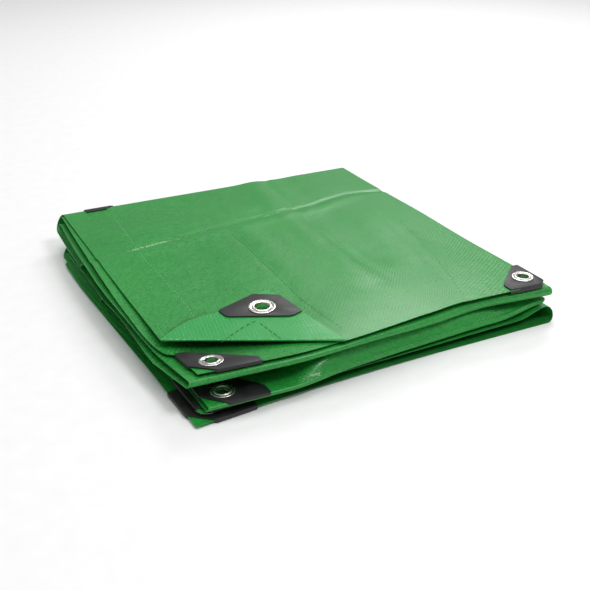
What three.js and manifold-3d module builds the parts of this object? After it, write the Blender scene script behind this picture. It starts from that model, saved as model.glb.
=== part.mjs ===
import * as THREE from "three";
import { mergeVertices } from "three/addons/utils/BufferGeometryUtils.js";
import Module from "manifold-3d";

// A green woven tarp, folded in half and then back and forth into a flat pile.
// Lengths are in millimetres. X runs along the front to the right, Y to the back and Z up.
// X 0, Y 0 is the pile's front left corner until the last lines centre the pile.

const wasm = await Module();
wasm.setup();

// The pile, its cloth, and the gap between pieces that touch
const WIDTH = 350;
const DEPTH = 379;
const CLOTH = 1.0;
const GAP = 0.3;

// The guards' plastic and the outline that they share
const PLATE = 0.8;
const LIP = 0.9;
const GUARD_ROUND = 4;
const GUARD_NICK = 1.5;
const NICK_STEPS = 2;
const ROUND_CORNER_STEPS = 4;

// The eyelets' metal. Barrel, washer and bore are shares of the flange's radius.
const BARREL_SHARE = 0.62;
const BORE_SHARE = 0.53;
const WASHER_SHARE = 0.86;
const EYELET_DOME = 1.1;
const EYELET_ROLL = 1.6;
const WASHER = 0.5;
const ROUND_STEPS = 24;

// The front corners where guards sit are flat up to these distances from the front and the left side.
// A tilted corner keeps its height at CORNER_HINGE of its depth, and cloth that rises behind it has
// risen at RISE_END.
const CORNER_DEPTH = 60;
const CORNER_WIDTH = 75;
const CORNER_HINGE = 0.25;
const RISE_END = 78;

// Front heights reach this far back, and the heights of the back part start and end here.
const FRONT_FADE = 145;
const BACK_FADE_START = 145;
const BACK_FADE_END = 218;

// Stations across and along the pile, where the cloth bends. Two of them are its pressed creases.
const CREASE_X = 228;
const CREASE_Y = 277;
const LIP_BACK = 30;
const LEFT_STRETCH = 138;
const RIGHT_STRETCH = 262;
const RIGHT_LEVEL = 295;
const ACROSS = [0, 41, CORNER_WIDTH, LEFT_STRETCH, 183, CREASE_X, RIGHT_STRETCH, RIGHT_LEVEL, 330, WIDTH];
const ALONG = [LIP_BACK, CORNER_DEPTH, RISE_END, 105, FRONT_FADE, 180, BACK_FADE_END, CREASE_Y, 325];
const LEAST_STEP = 0.8;

// Soft waves over the pile, and how deep its creases are
const WAVE_HEIGHT = 0.6;
const WAVE_X = 190;
const WAVE_Y = 250;
const CREASE_DEPTH = 0.5;

// Every table has its column names first.
function rowsOf([columns, ...rows]) {
  return rows.map((row) => Object.fromEntries(row.map((value, i) => [columns[i], value])));
}

// The runs of the doubled cloth, in order along it from the top sheet's free edge to the bottom one's.
// Ply A is the outer cloth and ply B the inner one. Heights are those of the middle of the cloth.
// rise lifts a sheet behind its flat corner, dip tilts that corner down to the back,
// and bank lifts the sheet between the corners, behind its front fold.
const HEIGHTS = rowsOf([
  ["run", "ply", "frontLeft", "frontRight", "middle", "back", "rise", "dip", "bank"],
  ["top", "A", 37.9, 39.0, 38.2, 39.0, 0, 0, 0],
  ["top", "B", 36.2, 37.4, 35.4, 37.2, 0, 7, 0],
  ["upperTuck", "A", 20.4, 20.4, 20.4, 20.4, 0, 0, 0],
  ["upperTuck", "B", 22.0, 22.0, 22.0, 22.0, 0, 0, 0],
  ["upperTurnIn", "A", 26.2, 26.2, 26.2, 26.2, 0, 0, 0],
  ["upperTurnIn", "B", 24.6, 24.6, 24.6, 24.6, 0, 0, 0],
  ["second", "A", 31.5, 32.5, 29.3, 30.2, 0, 7, 0],
  ["second", "B", 33.0, 34.1, 32.2, 31.8, 0, 7, 0],
  ["third", "A", 30.0, 27.6, 26.4, 18.6, 0, 7, 0],
  ["third", "B", 27.8, 25.8, 24.6, 16.9, 0, 7, 0],
  ["lowerTuck", "A", 6.9, 6.9, 6.9, 6.9, 0, 0, 0],
  ["lowerTuck", "B", 8.5, 8.5, 8.5, 8.5, 0, 0, 0],
  ["lowerTurnIn", "A", 11.7, 11.7, 11.7, 11.7, 0, 0, 0],
  ["lowerTurnIn", "B", 10.1, 10.1, 10.1, 10.1, 0, 0, 0],
  ["fourth", "A", 12.0, 19.4, 17.4, 13.5, 1.7, 0, 3],
  ["fourth", "B", 13.1, 21.0, 19.4, 15.1, 2.6, 0, 3],
  ["fifth", "A", 11.0, 17.9, 9.2, 5.3, 0.8, 0, 3],
  ["fifth", "B", 9.9, 16.3, 6.4, 3.7, 0, 0, 3],
  ["bottom", "A", 2.4, 0.5, 0.5, 0.5, 0, 0, 0],
  ["bottom", "B", 7.4, 7.0, 3.2, 2.1, 0, 0, 0],
]);

// Where the sheets' side edges lie. corner is the left edge's place at the front, lean its change over
// the flat corner and rear its place at the back. bow is how far it swells out, and skew how late.
// right is the right edge's place at the front beside the pile's width. At the back all have one place.
const SIDES = rowsOf([
  ["run", "ply", "corner", "lean", "bow", "skew", "rear", "right"],
  ["top", "A", 0, 0, 1, 1, 0, -2],
  ["top", "B", 9, -3, 14, 0.45, -2, -2],
  ["upperTuck", "A", 0, 0, 5, 1, -9, 4],
  ["upperTuck", "B", 0, 0, 5, 1, -8, 4],
  ["upperTurnIn", "A", 0, 0, 5, 1, -6, 4],
  ["upperTurnIn", "B", 0, 0, 5, 1, -7, 4],
  ["second", "A", 12, -4, 5, 0.8, -4, 5.5],
  ["second", "B", 1, -5, 8, 0.8, -6, 5.5],
  ["third", "A", 10, -4, 2, 0.8, -7, 6],
  ["third", "B", -1, -7, 3, 0.4, -9, 6],
  ["lowerTuck", "A", 0, 0, 1, 1, -14, 4],
  ["lowerTuck", "B", 0, 0, 1, 1, -13, 4],
  ["lowerTurnIn", "A", 0, 0, 1, 1, -11, 4],
  ["lowerTurnIn", "B", 0, 0, 1, 1, -12, 4],
  ["fourth", "A", 10, 0, 4, 1, -10, 4],
  ["fourth", "B", 10, -1, 4, 1, -11, 4],
  ["fifth", "A", 8, 0, 6, 1, -12, 0],
  ["fifth", "B", 8, -1, 8, 1, -13, 0],
  ["bottom", "A", -3, -3, 3, 1.3, -13, 3],
  ["bottom", "B", 4.5, -2, 8, 1, -12, 3],
]);
const REAR_RIGHT = -1;
const SHEETS = HEIGHTS.map((row, i) => ({ ...row, ...SIDES[i] }));
const RUN_NAMES = [...new Set(SHEETS.map((sheet) => sheet.run))];

// The turns between one run and the next. left and right are how far the outer ply reaches in Y,
// insetLeft and insetRight how much shorter the inner ply stays, and round how deep the turn is.
// A turn at the front with no reach here reaches as far as FRONTS says.
const TURNS = rowsOf([
  ["side", "outer", "left", "right", "insetLeft", "insetRight", "round", "steps"],
  ["back", "A", 389, 380, 2.2, 2.2, 1.1, 6],
  ["front", "A", 280, 294, 2, 2, 1, 4],
  ["back", "B", 376, 367, 2, 2, 1, 4],
  ["front", "B", null, null, 13, 2, 0.9, 5],
  ["back", "A", 346, 372, 2, 2, 1, 6],
  ["front", "A", 225, 280, 2, 2, 1, 4],
  ["back", "B", 333, 359, 2, 2, 1, 4],
  ["front", "B", null, null, 80, 2, 0.9, 4],
  ["back", "A", 333, 366, 2.5, 2.5, 1, 4],
]);

// How far each front edge or front turn reaches in Y at stations across the pile.
const FRONT_ACROSS = [0, CORNER_WIDTH, LEFT_STRETCH, CREASE_X, RIGHT_LEVEL, WIDTH];
const FRONTS = {
  topA: [5, 5, 4.5, 10.5, 12, 6],
  topB: [16.5, 7.2, 7.5, 13, 15, 9],
  roll: [12.5, 4.5, 1, 8, 11, 3],
  lip: [1, -3, 2.5, 6.5, 8, 8],
  bottomB: [5, 6, 6, 6, 6, 5],
  bottomA: [-3, 1.5, 3, 3, 1, -1],
};
const FRONT_TURNS = { second: "roll", third: "roll", fourth: "lip", fifth: "lip" };

// The bottom sheet's doubled end curls up inside the right edge.
const CURL = 7.8;
const CURL_START = 320;
const HAIRPIN_STEPS = 4;
const HAIRPIN_REACH = 7;

// The top sheet's front left corner is folded back along a line, so that its tip lies on the pile.
// The flap slopes up from the fold to its tip, and is a plane from EAR_LEVEL of that way on.
const EAR_LEFT = new THREE.Vector2(0, 75);
const EAR_RIGHT = new THREE.Vector2(130, 6);
const EAR_TIP = new THREE.Vector2(115, 110);
const EAR_FOLD_HEIGHT = 39.5;
const EAR_TIP_HEIGHT = 42.4;
const EAR_LEVEL = 0.36;
const EAR_WAYS = [0, 0.12, EAR_LEVEL, 0.66, 0.985];
const EAR_STRIPS = 8;
const EAR_TURN = 0.8;
const EAR_TURN_STEPS = 4;
const EAR_ROOT = 3;
const EAR_ROOT_EDGE = 0.5;
const EAR_ROOT_CLOTH = 0.6;
const EAR_ROOT_ROWS = 3;

// The guards. first and second are their legs along the front edge and the side, each with the width
// of its blunt end. cut is the length of leg that is cut off at the tip, and the insets are the
// eyelet's distances from both edges. flange is the eyelet's outer radius, null where there is none.
const GUARD_SIZES = rowsOf([
  ["name", "first", "second", "bluntFirst", "bluntSecond", "cut", "insetFirst", "insetSecond", "flange"],
  ["dog_ear", 51, 58, 11, 12, 17, 22, 24, 12],
  ["second_sheet", 53, 43, 8, 6, 15, 18, 16, 10.2],
  ["front_turn", 52, 54, 12, 12, 17, 18.5, 16.5, 10.2],
  ["bottom_inner", 54, 54, 12, 12, 9, null, null, null],
  ["bottom_outer", 54, 54, 12, 12, 17, 18, 18, 10.2],
  ["right_edge", 39, 42, 10, 5, 5, 12.5, 17, 10.2],
]);

// The guard on the back turn's left end
const BACK_GUARD_LEFT = 24;
const BACK_GUARD_TOP = 22;
const BACK_GUARD_BOTTOM = 58;
const BACK_GUARD_OVER = 5;
const BACK_GUARD_FLAT = 0.1;
const BACK_GUARD_STRIPS = 5;
const BACK_GUARD_STEPS = 10;

const smooth = (from, to, value) => THREE.MathUtils.smoothstep(value, from, to);
const mix = THREE.MathUtils.lerp;

// Straight lines through the values of a row of stations.
function alongStations(stations, values, at) {
  let i = 1;
  while (i < stations.length - 1 && at > stations[i]) i += 1;
  return mix(values[i - 1], values[i], (at - stations[i - 1]) / (stations[i] - stations[i - 1]));
}

// Soft waves over the pile, none at its front, and a shallow trough along the creases
function undulation(x, y) {
  const turn = 2 * Math.PI;
  const wave = WAVE_HEIGHT * Math.sin((turn * x) / WAVE_X) * Math.sin((turn * y) / WAVE_Y);
  const crease = x === CREASE_X || Math.abs(y - CREASE_Y) < 1 ? CREASE_DEPTH : 0;
  return (wave - crease) * smooth(CORNER_DEPTH, FRONT_FADE, y);
}

// How far the front left corner of a sheet is tilted: up at the front edge and down behind it
const cornerTilt = (sheet, y) => sheet.dip * (CORNER_HINGE - Math.min(y, CORNER_DEPTH) / CORNER_DEPTH);

function heightAt(sheet, x, y) {
  const side = smooth(CORNER_WIDTH, RIGHT_LEVEL, x);
  const nearLeft = 1 - smooth(CORNER_WIDTH, LEFT_STRETCH, x);
  const front = 1 - smooth(CORNER_DEPTH, FRONT_FADE, y);
  const back = smooth(BACK_FADE_START, BACK_FADE_END, y);
  const corner = mix(sheet.frontLeft, sheet.frontRight, side) + nearLeft * cornerTilt(sheet, y);
  const between = (1 - nearLeft) * (1 - smooth(RIGHT_STRETCH, WIDTH, x));
  const lift = sheet.rise * smooth(CORNER_DEPTH, RISE_END, y) * front * (1 - side);
  const banked = sheet.bank * smooth(0, LIP_BACK, y) * between;
  const curls = sheet.run === "bottom" && sheet.ply === "B";
  const curl = curls ? CURL * smooth(CURL_START, WIDTH, x) * front : 0;
  const base = front * (corner + banked) + back * sheet.back + (1 - front - back) * sheet.middle;
  const share = (base - CLOTH / 2) / (SHEETS[0].middle - CLOTH / 2);
  return base + lift + curl + undulation(x, y) * share;
}

// How far the cloth's side edges lie from X 0 and the width, less and less felt inside the pile
function sideShift(sheet, x, y) {
  const past = THREE.MathUtils.clamp((y - CORNER_DEPTH) / (DEPTH - CORNER_DEPTH), 0, 1);
  const corner = sheet.corner + (sheet.lean * Math.min(y, CORNER_DEPTH)) / CORNER_DEPTH;
  const swell = sheet.bow * Math.sin(Math.PI * past ** sheet.skew);
  const edge = mix(corner, sheet.rear, smooth(0, 1, past)) - swell;
  const left = Math.max(0, 1 - x / LEFT_STRETCH);
  const right = Math.max(0, (x - RIGHT_STRETCH) / (WIDTH - RIGHT_STRETCH));
  return edge * left + mix(sheet.right, REAR_RIGHT, smooth(0, 1, past)) * right;
}

const sheetOf = (run, ply) => SHEETS.find((sheet) => sheet.run === run && sheet.ply === ply);

// Where ply starts to turn after a run, and how deep the turn is, at X x. index is the run's place.
function turnAt(index, ply, x) {
  const turn = TURNS[index];
  const inward = turn.side === "back" ? -1 : 1;
  const outerReach = turn.left === null
    ? alongStations(FRONT_ACROSS, FRONTS[FRONT_TURNS[RUN_NAMES[index]]], x)
    : mix(turn.left, turn.right, x / WIDTH);
  const inset = mix(turn.insetLeft, turn.insetRight, smooth(LEFT_STRETCH, WIDTH, x));
  const reach = outerReach + (ply === turn.outer ? 0 : inward * inset);
  const from = heightAt(sheetOf(RUN_NAMES[index], ply), x, reach);
  const to = heightAt(sheetOf(RUN_NAMES[index + 1], ply), x, reach);
  const depth = (turn.round * Math.abs(from - to)) / 2;
  return { y: reach + inward * depth, depth, outward: -inward, steps: turn.steps };
}

function pointOn(sheet, x, y) {
  return new THREE.Vector3(x + sideShift(sheet, x, y), y, heightAt(sheet, x, y));
}

// The free front edge of the first and the last run
function freeEdge(sheet, x) {
  return alongStations(FRONT_ACROSS, FRONTS[`${sheet.run}${sheet.ply}`], x);
}

// One line of the cloth's middle surface, from the top free edge to the bottom one, at X x.
function pathAt(ply, x) {
  const points = [];
  const last = RUN_NAMES.length - 1;
  RUN_NAMES.forEach((name, run) => {
    const sheet = sheetOf(name, ply);
    const start = run === 0 ? freeEdge(sheet, x) : turnAt(run - 1, ply, x).y;
    const end = run === last ? freeEdge(sheet, x) : turnAt(run, ply, x).y;
    const isTuck = /Tuck|TurnIn/.test(sheet.run);
    const low = Math.min(start, end);
    const high = Math.max(start, end);
    const stations = isTuck ? [(low + high) / 2] : ALONG;
    const inner = stations.map((y, i) => THREE.MathUtils.clamp(
      y, low + LEAST_STEP * (i + 1), high - LEAST_STEP * (stations.length - i)));
    if (start > end) inner.reverse();
    for (const y of [start, ...inner, end]) points.push(pointOn(sheet, x, y));
    if (run < last) points.push(...turnPoints(run, ply, x));
  });
  return points;
}

// The points between the two ends of a turn, on half an ellipse
function turnPoints(index, ply, x) {
  const { y, depth, outward, steps } = turnAt(index, ply, x);
  const from = pointOn(sheetOf(RUN_NAMES[index], ply), x, y);
  const to = pointOn(sheetOf(RUN_NAMES[index + 1], ply), x, y);
  const points = [];
  for (let i = 1; i < steps; i += 1) {
    const angle = (Math.PI * i) / steps;
    const point = from.clone().lerp(to, (1 - Math.cos(angle)) / 2);
    point.y = y + outward * depth * Math.sin(angle);
    points.push(point);
  }
  return points;
}

// The columns of the whole cloth: ply A from left to right, the hairpin at the right edge and ply B back.
function clothColumns() {
  const outer = ACROSS.map((x) => pathAt("A", x));
  const inner = ACROSS.map((x) => pathAt("B", x)).reverse();
  const hairpin = [];
  for (let i = 1; i < HAIRPIN_STEPS; i += 1) {
    const angle = (Math.PI * i) / HAIRPIN_STEPS;
    hairpin.push(outer.at(-1).map((a, row) => {
      const b = inner[0][row];
      const reach = Math.min(a.distanceTo(b) / 2, HAIRPIN_REACH);
      const point = a.clone().lerp(b, (1 - Math.cos(angle)) / 2);
      point.x += reach * Math.sin(angle);
      return point;
    }));
  }
  return [...outer, ...hairpin, ...inner];
}

// The direction of a line of points at one of them, halfway between its two stretches.
function tangent(before, at, after) {
  const direction = new THREE.Vector3();
  if (before) direction.add(at.clone().sub(before).normalize());
  if (after) direction.add(after.clone().sub(at).normalize());
  return direction.normalize();
}

// A closed sheet around a grid of points, as thick at each row as thicknessAt says.
// The diagonals of its quads are alike in plan, so that stacked sheets stay clear of each other.
function thickSheet(columns, thicknessAt) {
  const rows = columns[0].length;
  const vertices = [];
  const faces = [];
  for (const side of [1, -1]) {
    columns.forEach((column, c) => column.forEach((point, r) => {
      const across = tangent(columns[c - 1]?.[r], point, columns[c + 1]?.[r]);
      const along = tangent(column[r - 1], point, column[r + 1]);
      const normal = across.cross(along).normalize();
      vertices.push(point.clone().addScaledVector(normal, (side * thicknessAt(r)) / 2));
    }));
  }
  const under = columns.length * rows;
  const index = (c, r) => c * rows + r;
  const quad = (a, b, c, d) => faces.push(a, b, c, a, c, d);
  for (let c = 0; c < columns.length - 1; c += 1) {
    for (let r = 0; r < rows - 1; r += 1) {
      const ring = [index(c, r), index(c + 1, r), index(c + 1, r + 1), index(c, r + 1)];
      const diagonal = vertices[ring[2]].clone().sub(vertices[ring[0]]);
      if (diagonal.x * diagonal.y < 0) ring.push(ring.shift());
      quad(...ring);
      quad(...[ring[0], ring[3], ring[2], ring[1]].map((i) => i + under));
    }
  }
  const edges = [];
  const lastColumn = columns.length - 1;
  for (let c = 0; c < lastColumn; c += 1) {
    edges.push([index(c + 1, 0), index(c, 0)], [index(c, rows - 1), index(c + 1, rows - 1)]);
  }
  for (let r = 0; r < rows - 1; r += 1) {
    edges.push([index(0, r), index(0, r + 1)], [index(lastColumn, r + 1), index(lastColumn, r)]);
  }
  for (const [a, b] of edges) quad(a, b, b + under, a + under);
  const geometry = new THREE.BufferGeometry().setFromPoints(vertices);
  geometry.setIndex(faces);
  return geometry;
}

// A geometry as a solid that can be cut and joined, and back
function solidOf(geometry) {
  const bare = geometry.clone();
  for (const name of ["normal", "uv"]) bare.deleteAttribute(name);
  const merged = mergeVertices(bare, 1e-4);
  return new wasm.Manifold(new wasm.Mesh({
    numProp: 3,
    vertProperties: merged.getAttribute("position").array,
    triVerts: new Uint32Array(merged.index.array),
  }));
}

function geometryOf(solid) {
  const mesh = solid.getMesh();
  const geometry = new THREE.BufferGeometry();
  geometry.setAttribute("position", new THREE.BufferAttribute(mesh.vertProperties, 3));
  geometry.setIndex(new THREE.BufferAttribute(mesh.triVerts, 1));
  return geometry;
}

// A plane is a height at X 0, Y 0 and its slopes along X and Y.
const LEVEL = { height: 0, slopeX: 0, slopeY: 0 };

const heightOn = ({ height, slopeX, slopeY }, { x, y }) => height + slopeX * x + slopeY * y;

// Raises a level geometry onto a plane and shears it to the slope.
function onPlane(geometry, { height, slopeX, slopeY }) {
  return geometry.applyMatrix4(new THREE.Matrix4().set(
    1, 0, 0, 0,
    0, 1, 0, 0,
    slopeX, slopeY, 1, height,
    0, 0, 0, 1,
  ));
}

// A prism over an outline in plan, put on a plane
function prism(outline, bottom, top, plane = LEVEL) {
  const ring = THREE.ShapeUtils.isClockWise(outline) ? outline.toReversed() : outline;
  const depth = top - bottom;
  const geometry = new THREE.ExtrudeGeometry(new THREE.Shape(ring), { depth, bevelEnabled: false });
  geometry.translate(0, 0, bottom);
  return solidOf(onPlane(geometry, plane));
}

function circle(centre, radius) {
  const outline = [];
  for (let i = 0; i < ROUND_STEPS; i += 1) {
    const angle = (2 * Math.PI * i) / ROUND_STEPS;
    outline.push(new THREE.Vector2(Math.cos(angle), Math.sin(angle)).multiplyScalar(radius).add(centre));
  }
  return outline;
}

// A cloth corner in plan: its point, and the directions of the two edges that leave it
function cornerFrame(point, onFirst, onSecond) {
  return {
    point,
    alongFirst: onFirst.clone().sub(point).normalize(),
    alongSecond: onSecond.clone().sub(point).normalize(),
  };
}

function inFrame({ point, alongFirst, alongSecond }, first, second) {
  return point.clone().addScaledVector(alongFirst, first).addScaledVector(alongSecond, second);
}

// A guard's outline: a triangle with its tip cut off, blunt ends and rounded corners
function guardOutline(guard, overFirst, overSecond) {
  const { first, second, bluntFirst, bluntSecond, cut } = guard;
  const corners = [
    [cut, -overFirst, GUARD_NICK],
    [first, -overFirst, GUARD_NICK],
    [first, bluntFirst, GUARD_ROUND],
    [bluntSecond, second, GUARD_ROUND],
    [-overSecond, second, GUARD_NICK],
    [-overSecond, cut, GUARD_NICK],
  ].map(([along, across, round]) => ({ at: inFrame(guard, along, across), round }));
  const outline = [];
  corners.forEach(({ at, round }, i) => {
    const before = corners.at(i - 1).at;
    const after = corners[(i + 1) % corners.length].at;
    const enter = at.clone().add(before.clone().sub(at).setLength(round));
    const leave = at.clone().add(after.clone().sub(at).setLength(round));
    const arc = new THREE.QuadraticBezierCurve(enter, at, leave);
    outline.push(...arc.getPoints(round > GUARD_NICK ? ROUND_CORNER_STEPS : NICK_STEPS));
  });
  return outline;
}

// The outline of the room that the cloth takes inside a guard, open at the guard's tip and long side
function clothRoom(guard, overFirst, overSecond) {
  const far = 2 * Math.max(guard.first, guard.second);
  return [
    inFrame(guard, -overSecond, -overFirst),
    inFrame(guard, far, -overFirst),
    inFrame(guard, far, far),
    inFrame(guard, -overSecond, far),
  ];
}

// The front left corner of a sheet whose front edge starts at these two distances in Y
function leftCorner(sheet, [start, end]) {
  const at = (x, y) => new THREE.Vector2(x + sideShift(sheet, x, y), y);
  return cornerFrame(at(0, start), at(CORNER_WIDTH, end), at(0, CORNER_DEPTH));
}

// The front right corner of the top sheet, at the outside of its folded edge
function rightCorner() {
  const sheet = sheetOf("top", "A");
  const apart = heightAt(sheet, WIDTH, 0) - heightAt(sheetOf("top", "B"), WIDTH, 0);
  const bulge = Math.hypot(apart, FRONTS.topA.at(-1) - FRONTS.topB.at(-1)) / 2;
  const side = WIDTH + sheet.right + bulge + CLOTH / 2;
  const [near, far] = FRONTS.topA.slice(-2).reverse();
  return cornerFrame(
    new THREE.Vector2(side, near),
    new THREE.Vector2(side - (WIDTH - FRONT_ACROSS.at(-2)), far),
    new THREE.Vector2(side, CORNER_DEPTH),
  );
}

// The plane of a sheet's flat front left corner, with that corner's tilt
function cornerPlane(sheet) {
  return {
    height: sheet.frontLeft + cornerTilt(sheet, 0),
    slopeX: 0,
    slopeY: -sheet.dip / CORNER_DEPTH,
  };
}

// The plane of the folded-back corner, up from its fold to its tip
function earPlane() {
  const line = EAR_RIGHT.clone().sub(EAR_LEFT).normalize();
  const inward = new THREE.Vector2(-line.y, line.x);
  const slope = (EAR_TIP_HEIGHT - EAR_FOLD_HEIGHT) / EAR_TIP.clone().sub(EAR_LEFT).dot(inward);
  return {
    height: EAR_FOLD_HEIGHT - slope * EAR_LEFT.dot(inward),
    slopeX: slope * inward.x,
    slopeY: slope * inward.y,
  };
}

// What each guard sits on: a corner, the plane of its upper cloth, and how much lower its lowest cloth is
const GUARD_PLACES = {
  dog_ear: { ...cornerFrame(EAR_TIP, EAR_RIGHT, EAR_LEFT), plane: earPlane(), under: 0 },
  second_sheet: {
    ...leftCorner(sheetOf("top", "B"), FRONTS.topB),
    plane: cornerPlane(sheetOf("top", "B")),
    under: 0,
  },
  front_turn: {
    ...leftCorner(sheetOf("fourth", "B"), FRONTS.lip),
    plane: cornerPlane(sheetOf("fourth", "B")),
    under: 0,
    onFold: true,
  },
  bottom_inner: {
    ...leftCorner(sheetOf("bottom", "B"), FRONTS.bottomB),
    plane: cornerPlane(sheetOf("bottom", "B")),
    under: 0,
  },
  bottom_outer: {
    ...leftCorner(sheetOf("bottom", "A"), FRONTS.bottomA),
    plane: cornerPlane(sheetOf("bottom", "A")),
    under: 0,
  },
  right_edge: {
    ...rightCorner(),
    plane: { ...LEVEL, height: sheetOf("top", "A").frontRight },
    under: sheetOf("top", "A").frontRight - sheetOf("top", "B").frontRight,
  },
};
const GUARDS = GUARD_SIZES.map((sizes) => ({ ...sizes, ...GUARD_PLACES[sizes.name] }));
const EYELET_GUARDS = GUARDS.filter((guard) => guard.flange !== null);

const eyeletCentre = (guard) => inFrame(guard, guard.insetFirst, guard.insetSecond);
const overCloth = CLOTH / 2 + GAP;
const underCloth = (guard) => -guard.under - overCloth;

// A guard is two plates joined along the cloth's edges. The one on a fold has no lower plate.
function guardGeometry(guard) {
  const overFirst = (guard.onFold ? CLOTH / 2 : 0) + GAP;
  const bottom = underCloth(guard) - (guard.onFold ? 0 : PLATE);
  const roomBottom = underCloth(guard) - (guard.onFold ? PLATE : 0);
  const top = overCloth + PLATE;
  const body = prism(guardOutline(guard, overFirst + LIP, GAP + LIP), bottom, top, guard.plane);
  const room = prism(clothRoom(guard, overFirst, GAP), roomBottom, overCloth, guard.plane);
  const solid = body.subtract(room);
  if (guard.flange === null) return geometryOf(solid);
  const hole = circle(eyeletCentre(guard), guard.flange * BARREL_SHARE + GAP);
  return geometryOf(solid.subtract(prism(hole, bottom - PLATE, top + PLATE, guard.plane)));
}

// An eyelet clamps the guard and its cloth between a washer and a domed flange.
function eyeletGeometry(guard) {
  const bore = guard.flange * BORE_SHARE;
  const barrel = guard.flange * BARREL_SHARE;
  const washerTop = underCloth(guard) - (guard.onFold ? 0 : PLATE + GAP);
  const flange = overCloth + PLATE + GAP;
  const profile = [
    [bore, washerTop - WASHER],
    [guard.flange * WASHER_SHARE, washerTop - WASHER],
    [guard.flange * WASHER_SHARE, washerTop],
    [barrel, washerTop],
    [barrel, flange],
    [guard.flange, flange],
    [guard.flange - EYELET_ROLL / 4, flange + EYELET_DOME / 2],
    [guard.flange - EYELET_ROLL, flange + EYELET_DOME],
    [barrel + EYELET_ROLL / 2, flange + EYELET_DOME],
    [(barrel + bore) / 2, flange + EYELET_DOME / 2],
    [bore, flange],
    [bore, washerTop - WASHER],
  ].map(([radius, height]) => new THREE.Vector2(radius, height));
  const geometry = new THREE.LatheGeometry(profile, ROUND_STEPS);
  geometry.rotateX(Math.PI / 2);
  const centre = eyeletCentre(guard);
  geometry.translate(centre.x, centre.y, 0);
  return geometryOf(solidOf(onPlane(geometry, guard.plane)));
}

// The folded-back corner: a strip inside the top sheet's thickness, a tight turn and the flap itself
function earColumns() {
  const sheet = sheetOf("top", "A");
  const plane = earPlane();
  const line = EAR_RIGHT.clone().sub(EAR_LEFT);
  const outward = new THREE.Vector2(line.y, -line.x).normalize();
  const columns = [];
  for (let c = 0; c <= EAR_STRIPS; c += 1) {
    const fold = EAR_LEFT.clone().lerp(EAR_RIGHT, c / EAR_STRIPS);
    const low = heightAt(sheet, fold.x, fold.y);
    const at = (out, height) => {
      const plan = fold.clone().addScaledVector(outward, out);
      return new THREE.Vector3(plan.x, plan.y, height);
    };
    const column = [at(-EAR_ROOT, low), at(-EAR_ROOT_EDGE, low), at(0, low)];
    for (let i = 1; i < EAR_TURN_STEPS; i += 1) {
      const angle = (Math.PI * i) / EAR_TURN_STEPS;
      column.push(at(EAR_TURN * Math.sin(angle), low + EAR_TURN * (1 - Math.cos(angle))));
    }
    for (const way of EAR_WAYS) {
      const plan = fold.clone().lerp(EAR_TIP, way);
      const height = mix(low + 2 * EAR_TURN, heightOn(plane, plan), Math.min(1, way / EAR_LEVEL));
      column.push(new THREE.Vector3(plan.x, plan.y, height));
    }
    columns.push(column);
  }
  return columns;
}

// What is cut off the top sheet, outside the fold of its folded-back corner
function earCut() {
  const line = EAR_RIGHT.clone().sub(EAR_LEFT).normalize();
  const outside = CORNER_WIDTH / 2;
  const bottom = (sheetOf("top", "A").frontLeft + sheetOf("top", "B").frontLeft) / 2;
  const outline = [
    EAR_LEFT.clone().addScaledVector(line, -outside),
    new THREE.Vector2(-outside, -outside),
    new THREE.Vector2(EAR_RIGHT.x + outside, -outside),
    EAR_RIGHT.clone().addScaledVector(line, outside),
  ];
  return prism(outline, bottom, EAR_FOLD_HEIGHT + CLOTH);
}

function clothGeometry() {
  const pile = solidOf(thickSheet(clothColumns(), () => CLOTH));
  const ear = solidOf(thickSheet(earColumns(), (row) => (row < EAR_ROOT_ROWS ? EAR_ROOT_CLOTH : CLOTH)));
  let solid = pile.subtract(earCut()).add(ear);
  for (const guard of EYELET_GUARDS) {
    const hole = circle(eyeletCentre(guard), guard.flange * BARREL_SHARE + GAP);
    solid = solid.subtract(prism(hole, underCloth(guard), overCloth, guard.plane));
  }
  return geometryOf(solid);
}

// The guard on the back turn's left end, a shell that follows the outer ply round its loop
function backGuardGeometry() {
  const offset = CLOTH / 2 + GAP + PLATE / 2;
  const columns = [];
  for (let c = 0; c <= BACK_GUARD_STRIPS; c += 1) {
    const column = [];
    for (let r = 0; r <= BACK_GUARD_STEPS; r += 1) {
      const way = r / BACK_GUARD_STEPS;
      const reach = mix(BACK_GUARD_TOP, BACK_GUARD_BOTTOM, way);
      const x = BACK_GUARD_LEFT + (c / BACK_GUARD_STRIPS) * reach;
      const { y, depth } = turnAt(0, "A", x);
      const from = heightAt(sheetOf("top", "A"), x, y);
      const to = heightAt(sheetOf("upperTuck", "A"), x, y);
      const angle = (Math.PI * Math.max(0, way - BACK_GUARD_FLAT)) / (1 - BACK_GUARD_FLAT);
      const half = (from - to) / 2 + offset;
      const over = r === 0 ? BACK_GUARD_OVER : 0;
      column.push(new THREE.Vector3(
        x, y - over + (depth + offset) * Math.sin(angle), (from + to) / 2 + half * Math.cos(angle)));
    }
    columns.push(column);
  }
  return geometryOf(solidOf(thickSheet(columns, () => PLATE)));
}

// Coated woven cloth, moulded plastic and nickel-plated steel
const cloth = new THREE.MeshStandardMaterial({ color: 0x4fa35c, roughness: 0.45, metalness: 0 });
const plastic = new THREE.MeshStandardMaterial({ color: 0x3a383a, roughness: 0.5, metalness: 0 });
const steel = new THREE.MeshStandardMaterial({ color: 0xc9c7c4, roughness: 0.3, metalness: 1 });

const pile = new THREE.Group();

function place(name, geometry, material) {
  const mesh = new THREE.Mesh(geometry, material);
  mesh.name = name;
  pile.add(mesh);
}

place("tarp_cloth", clothGeometry(), cloth);
for (const guard of GUARDS) place(`guard_${guard.name}`, guardGeometry(guard), plastic);
for (const guard of EYELET_GUARDS) place(`eyelet_${guard.name}`, eyeletGeometry(guard), steel);
place("guard_back_turn", backGuardGeometry(), plastic);

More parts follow.
